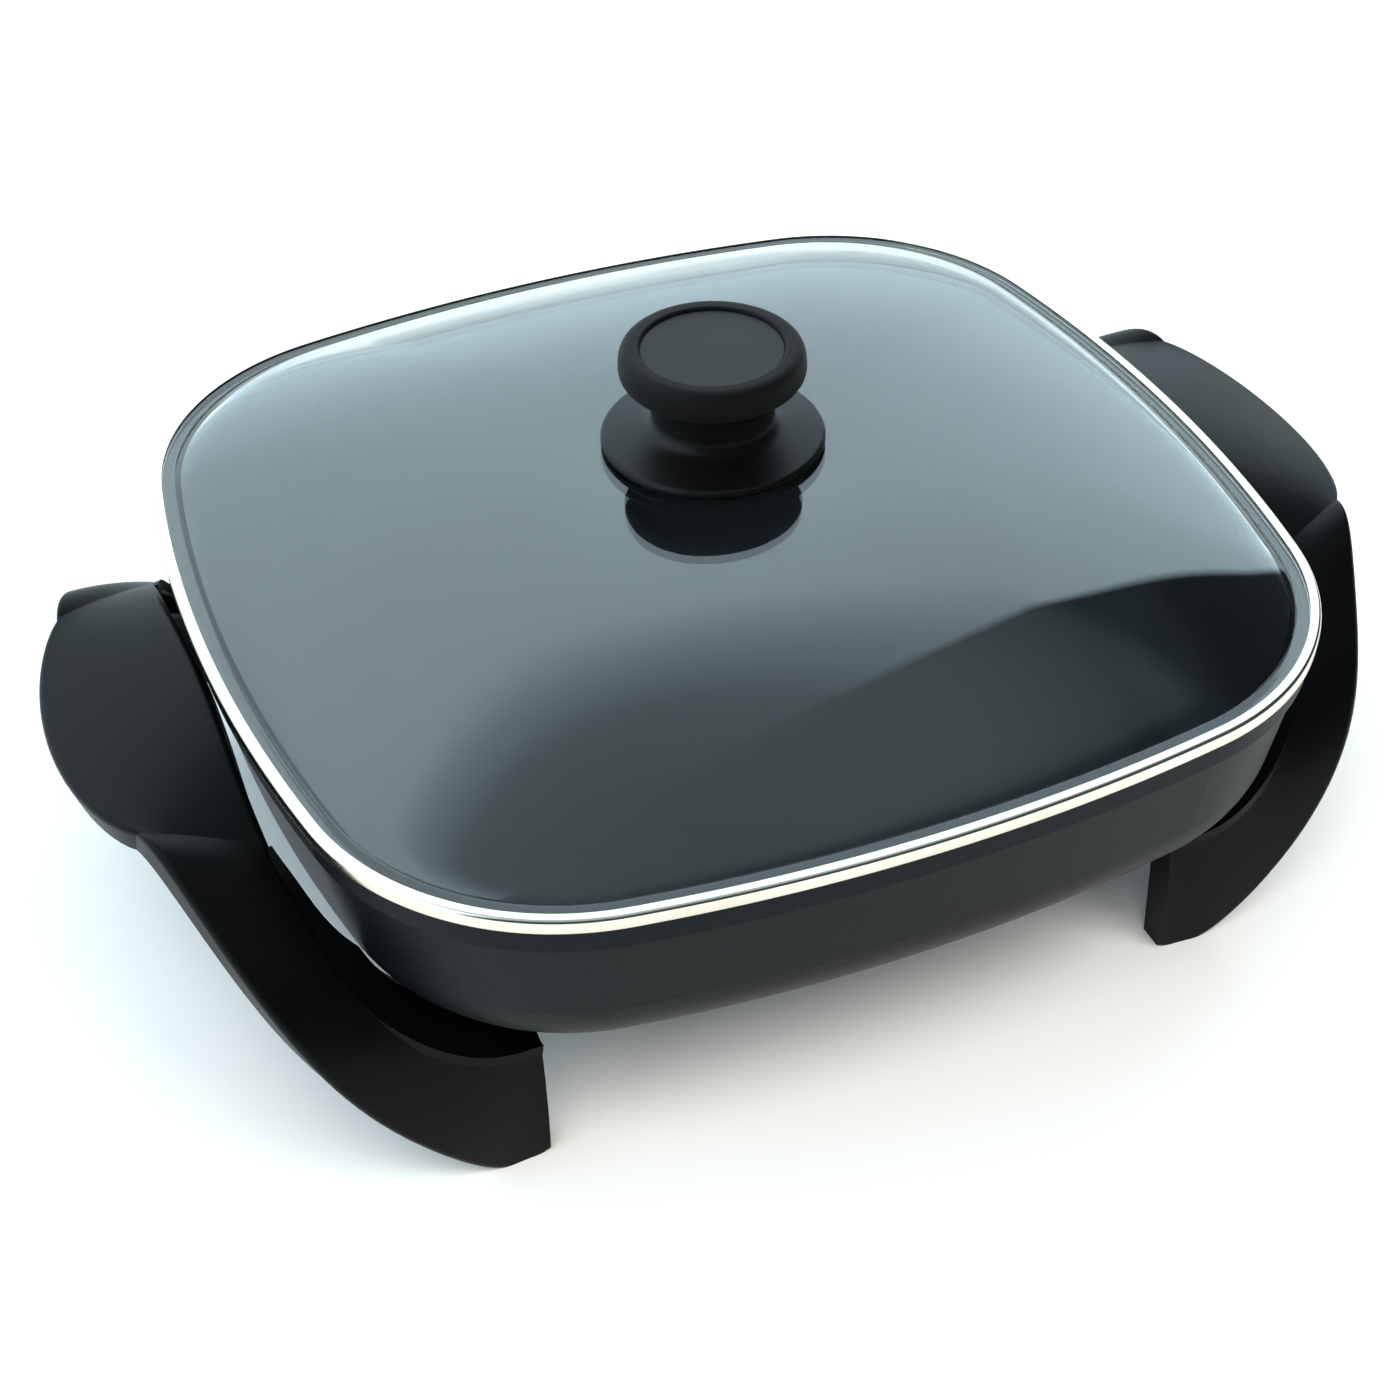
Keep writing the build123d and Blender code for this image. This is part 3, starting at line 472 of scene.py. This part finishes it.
# %% Build the sweep tree
def sweep_tree():
    """Line on the piece, section from an object, swept, merged and painted."""
    tree = bpy.data.node_groups.new("sweep_section", "GeometryNodeTree")
    tree.interface.new_socket("Line", in_out="INPUT", socket_type="NodeSocketGeometry")
    tree.interface.new_socket("Section", in_out="INPUT", socket_type="NodeSocketObject")
    tree.interface.new_socket("Merge Distance", in_out="INPUT", socket_type="NodeSocketFloat")
    tree.interface.new_socket("Material", in_out="INPUT", socket_type="NodeSocketMaterial")
    tree.interface.new_socket("Piece", in_out="OUTPUT", socket_type="NodeSocketGeometry")
    given = tree.nodes.new("NodeGroupInput").outputs
    line = add_node(tree, "GeometryNodeMeshToCurve", links={"Mesh": given["Line"]})
    level = add_node(tree, "GeometryNodeSetCurveNormal", {"mode": "Z_UP"},
                     {"Curve": line.outputs["Curve"]})
    section_object = add_node(tree, "GeometryNodeObjectInfo", links={"Object": given["Section"]})
    section = add_node(tree, "GeometryNodeMeshToCurve",
                       links={"Mesh": section_object.outputs["Geometry"]})
    swept = add_node(tree, "GeometryNodeCurveToMesh",
                     links={"Curve": level.outputs["Curve"],
                            "Profile Curve": section.outputs["Curve"]})
    merged = add_node(tree, "GeometryNodeMergeByDistance",
                      links={"Geometry": swept.outputs["Mesh"],
                             "Distance": given["Merge Distance"]})
    real = add_node(tree, "GeometryNodeRealizeInstances",
                    links={"Geometry": merged.outputs["Geometry"]})
    painted = add_node(tree, "GeometryNodeSetMaterial",
                       links={"Geometry": real.outputs["Geometry"],
                              "Material": given["Material"]})
    out = tree.nodes.new("NodeGroupOutput")
    link(tree, painted.outputs["Geometry"], out, "Piece")
    return tree


def loop_object(name, points, closed):
    """Object with one chain of edges."""
    edges = [(i, i + 1) for i in range(len(points) - 1)]
    if closed:
        edges.append((len(points) - 1, 0))
    mesh = bpy.data.meshes.new(name)
    mesh.from_pydata(points, edges, [])
    loop = bpy.data.objects.new(name, mesh)
    bpy.context.scene.collection.objects.link(loop)
    return loop


def run_tree(tree, carrier, values):
    """Runs a node tree on an object, and returns the plain mesh that it makes."""
    modifier = carrier.modifiers.new("nodes", "NODES")
    modifier.node_group = tree
    for item in tree.interface.items_tree:
        if item.in_out == "INPUT" and item.name in values:
            modifier[item.identifier] = values[item.name]
    bpy.context.view_layer.update()
    depsgraph = bpy.context.evaluated_depsgraph_get()
    mesh = bpy.data.meshes.new_from_object(carrier.evaluated_get(depsgraph))
    carrier.modifiers.remove(modifier)
    return mesh


def swept_mesh(line, section, line_closed, material, merge=0.002 * MM):
    """Mesh of a section carried along a line. The section's X points outwards, its Y up."""
    carrier = loop_object("line", line, line_closed)
    # a curve's profile hangs from its normal, so the height is turned over here
    profile = loop_object("section", [(x, -y, 0) for x, y in section], True)
    mesh = run_tree(SWEEP, carrier, {"Section": profile, "Merge Distance": merge,
                                     "Material": material})
    bpy.data.objects.remove(carrier)
    bpy.data.objects.remove(profile)
    return mesh


SWEEP = sweep_tree()
print("inputs of the sweep:", [i.name for i in SWEEP.interface.items_tree if i.in_out == "INPUT"])

# %% [markdown]
# ## The steel rim
#
# A strip of stainless steel is rolled round the edge of the glass. Its lip lies on the glass
# as a narrow bead, the side stands upright, and its lower lip turns in under the glass. The
# corners between them are tight bends, and those catch the light as thin lines.

# %% Roll the rim
RIM_STEPS = 360
RIM_LIP = 3.2 * MM
BEAD_R = 1.15 * MM
FOLD_R = 0.9 * MM


def arc(centre_x, centre_y, radius, start, end, count=6):
    """Points on an arc, angles in degrees."""
    turns = [math.radians(start + (end - start) * i / count) for i in range(count + 1)]
    return [(centre_x + radius * math.cos(t), centre_y + radius * math.sin(t)) for t in turns]


def rim_section():
    """Section of the strip: X is 0 on the outer face, Y is 0 at the lowest level."""
    high = RIM_HIGH.z - RIM_LOW.z
    inner = high - EDGE_STEEL
    outside = arc(-FOLD_R, FOLD_R, FOLD_R, -90, 0)
    outside += arc(-BEAD_R, high - BEAD_R, BEAD_R, 0, 90, 8)
    lip = arc(-RIM_LIP + EDGE_STEEL / 2, inner + EDGE_STEEL / 2, EDGE_STEEL / 2, 90, 270)
    wall = arc(-BEAD_R, high - BEAD_R, BEAD_R - EDGE_STEEL, 90, 0)
    wall += arc(-FOLD_R, FOLD_R, FOLD_R - EDGE_STEEL, 0, -90)
    foot = arc(-RIM_LIP + EDGE_STEEL / 2, EDGE_STEEL / 2, EDGE_STEEL / 2, 90, 270)
    return outside + lip + wall + foot


def rim_line(steps):
    """The lid's outline at the level of the rim's foot."""
    angles = [2 * math.pi * i / steps for i in range(steps)]
    reach = [outline_reach(parallel(0), angle) for angle in angles]
    return [(r * math.cos(a), r * math.sin(a), RIM_LOW.z) for r, a in zip(reach, angles)]


rim_mesh = swept_mesh(rim_line(RIM_STEPS), rim_section(), True, RIM_STEEL)
finish_piece("rolled_rim", rim_mesh, RIM_STEEL, "lid", ["lid_rim"])
rim_points = np.array([v.co for v in rim_mesh.vertices])
print("rim from", np.round(rim_points.min(axis=0) / MM, 2), "to",
      np.round(rim_points.max(axis=0) / MM, 2), "solid model", RIM_LOW / MM, RIM_HIGH / MM)

# %% [markdown]
# ## Finishes of the remaining nodes
#
# The pan, the mouldings and the small parts keep their solid-model shape, which is right as
# it is. They only take their finish.

# %% Paint the nodes
FINISH_OF = {
    "pan_casting": COATED_ALUMINIUM, "heating_element": SHEATH_STEEL,
    "terminal_pin_front": NICKEL, "terminal_pin_back": NICKEL,
    "pin_bush_front": CERAMIC, "pin_bush_back": CERAMIC, "inlet_guard": GUARD_STEEL,
    "guard_screws": PLATED_STEEL, "handle_left": PHENOLIC, "handle_right": PHENOLIC,
    "leg_screws_left": PLATED_STEEL, "leg_screws_right": PLATED_STEEL,
    "leg_washers_left": PLATED_STEEL, "leg_washers_right": PLATED_STEEL,
    "lid_glass": GLASS, "lid_rim": RIM_STEEL, "knob_flange": FLANGE_PLASTIC,
    "knob_grip": SOFT_TOUCH, "knob_cap": CAP_PLASTIC, "knob_gasket": SILICONE,
    "knob_washer": PLATED_STEEL, "knob_screw": PLATED_STEEL,
}
for node_name, node in NODES.items():
    node.data.materials.clear()
    node.data.materials.append(FINISH_OF[node_name])
print("painted nodes:", len(NODES))

# %% [markdown]
# ## Floor and light
#
# A pale floor fills the picture. Two softboxes in front light the floor and the sides. They
# are hidden from mirrors and glass, where only the surroundings give a long soft reflection.

# %% Floor
floor_mesh = bpy.data.meshes.new("floor")
FLOOR_HALF = 6.0
floor_mesh.from_pydata([(-FLOOR_HALF, -FLOOR_HALF, 0), (FLOOR_HALF, -FLOOR_HALF, 0),
                        (FLOOR_HALF, FLOOR_HALF, 0), (-FLOOR_HALF, FLOOR_HALF, 0)], [],
                       [(0, 1, 2, 3)])
floor = bpy.data.objects.new("floor", floor_mesh)
bpy.context.scene.collection.objects.link(floor)
FLOOR_PAINT, floor_tree, floor_shader, floor_place = new_finish("floor_paint", {
    "Roughness": 0.9, "Specular IOR Level": 0.1})
floor_cloud = add_node(floor_tree, "ShaderNodeTexNoise", {"Scale": 2.0}, {"Vector": floor_place})
floor_tone = add_node(floor_tree, "ShaderNodeMix",
                      {"data_type": "RGBA", 6: colour("#EDEDED"), 7: colour("#F2F2F2")},
                      {0: floor_cloud.outputs["Fac"]})
link(floor_tree, floor_tone.outputs[2], floor_shader, "Base Color")
floor_mesh.materials.append(FLOOR_PAINT)
print("floor:", 2 * FLOOR_HALF, "m wide")


# %% Lights
def softbox(name, place, aim, width, height, radiance, tint):
    """Rectangular area light that fills without showing in the glass. Radiance is per face."""
    data = bpy.data.lights.new(name, "AREA")
    data.shape = "RECTANGLE"
    data.size = width
    data.size_y = height
    data.energy = radiance * width * height * math.pi
    data.color = colour(tint)[:3]
    light = bpy.data.objects.new(name, data)
    facing_way = (Vector(aim) - Vector(place)).to_track_quat("-Z", "Y").to_matrix().to_4x4()
    light.matrix_world = Matrix.Translation(Vector(place)) @ facing_way
    bpy.context.scene.collection.objects.link(light)
    light.visible_glossy = False
    light.visible_transmission = False
    return light


def around(azimuth, elevation, distance):
    """Point seen from the object at an azimuth, clockwise from +Y, and an elevation."""
    turn, lift = math.radians(azimuth), math.radians(elevation)
    return (distance * math.sin(turn) * math.cos(lift),
            distance * math.cos(turn) * math.cos(lift), distance * math.sin(lift))


FRONT_BOXES = {"front_left": (-150, 55), "front_right": (150, 50)}   # azimuth, elevation
BOX_DISTANCE = 2.2
BOX_WIDTH = 1.2
BOX_HEIGHT = 1.0
BOX_RADIANCE = 6.5
for box_name, (azimuth, elevation) in FRONT_BOXES.items():
    softbox(box_name, around(azimuth, elevation, BOX_DISTANCE), (0, 0, 0),
            BOX_WIDTH, BOX_HEIGHT, BOX_RADIANCE, "#FFFAF0")

# %% [markdown]
# ## A sky that fades
#
# The glass mirrors what stands round it. A panel with hard edges would draw its own outline
# on the dome, so the surroundings are a world shader: bright from the horizon to about 60
# degrees, fading to a calm grey overhead. One upright edge splits it. To the right of that
# edge the room is dark up to about 50 degrees, so the glass there shows the dark pan below.

# %% Surroundings
EDGE_AZIMUTH = 60           # degrees clockwise from the back
EDGE_SOFTNESS = 0.01
BRIGHTEST = 3.0
LIT_SIDE = [(0.0, 0.60), (0.37, 0.80), (0.57, 0.95), (0.80, 1.0), (0.93, 0.33), (1.0, 0.28)]
DARK_SIDE = [(0.0, 0.03), (0.76, 0.03), (0.90, 0.24), (1.0, 0.28)]


def level_ramp(tree, height, levels):
    """Brightness as a share of the brightest, by the height of the direction."""
    ramp = add_node(tree, "ShaderNodeValToRGB", links={"Fac": height})
    stops = ramp.color_ramp.elements
    while len(stops) < len(levels):
        stops.new(0.5)
    for stop, (position, share) in zip(stops, levels):
        stop.position = position
        stop.color = (share, share, share, 1.0)
    return ramp.outputs["Color"]


world = bpy.data.worlds.new("studio")
world.use_nodes = True
sky = world.node_tree
way = add_node(sky, "ShaderNodeTexCoord").outputs["Generated"]
height = add_node(sky, "ShaderNodeSeparateXYZ", links={0: way}).outputs["Z"]
edge_turn = math.radians(EDGE_AZIMUTH)
left_of_edge = add_node(sky, "ShaderNodeVectorMath", {
    "operation": "DOT_PRODUCT", 1: (-math.cos(edge_turn), math.sin(edge_turn), 0)}, {0: way})
side = add_node(sky, "ShaderNodeMapRange", {"From Min": -EDGE_SOFTNESS,
                                            "From Max": EDGE_SOFTNESS},
                {"Value": left_of_edge.outputs["Value"]})
glow = add_node(sky, "ShaderNodeMix", {"data_type": "RGBA"}, {
    0: side.outputs["Result"], 6: level_ramp(sky, height, DARK_SIDE),
    7: level_ramp(sky, height, LIT_SIDE)})
tinted = add_node(sky, "ShaderNodeMix", {"data_type": "RGBA", "blend_type": "MULTIPLY",
                                         0: 1.0, 7: colour("#D2E8F2")},
                  {6: glow.outputs[2]})
background = sky.nodes["Background"]
background.inputs["Strength"].default_value = BRIGHTEST
link(sky, tinted.outputs[2], background, "Color")
bpy.context.scene.world = world
print("bright side ends at azimuth", EDGE_AZIMUTH)

# %% [markdown]
# ## The end

# %% Finish
print("scene built")
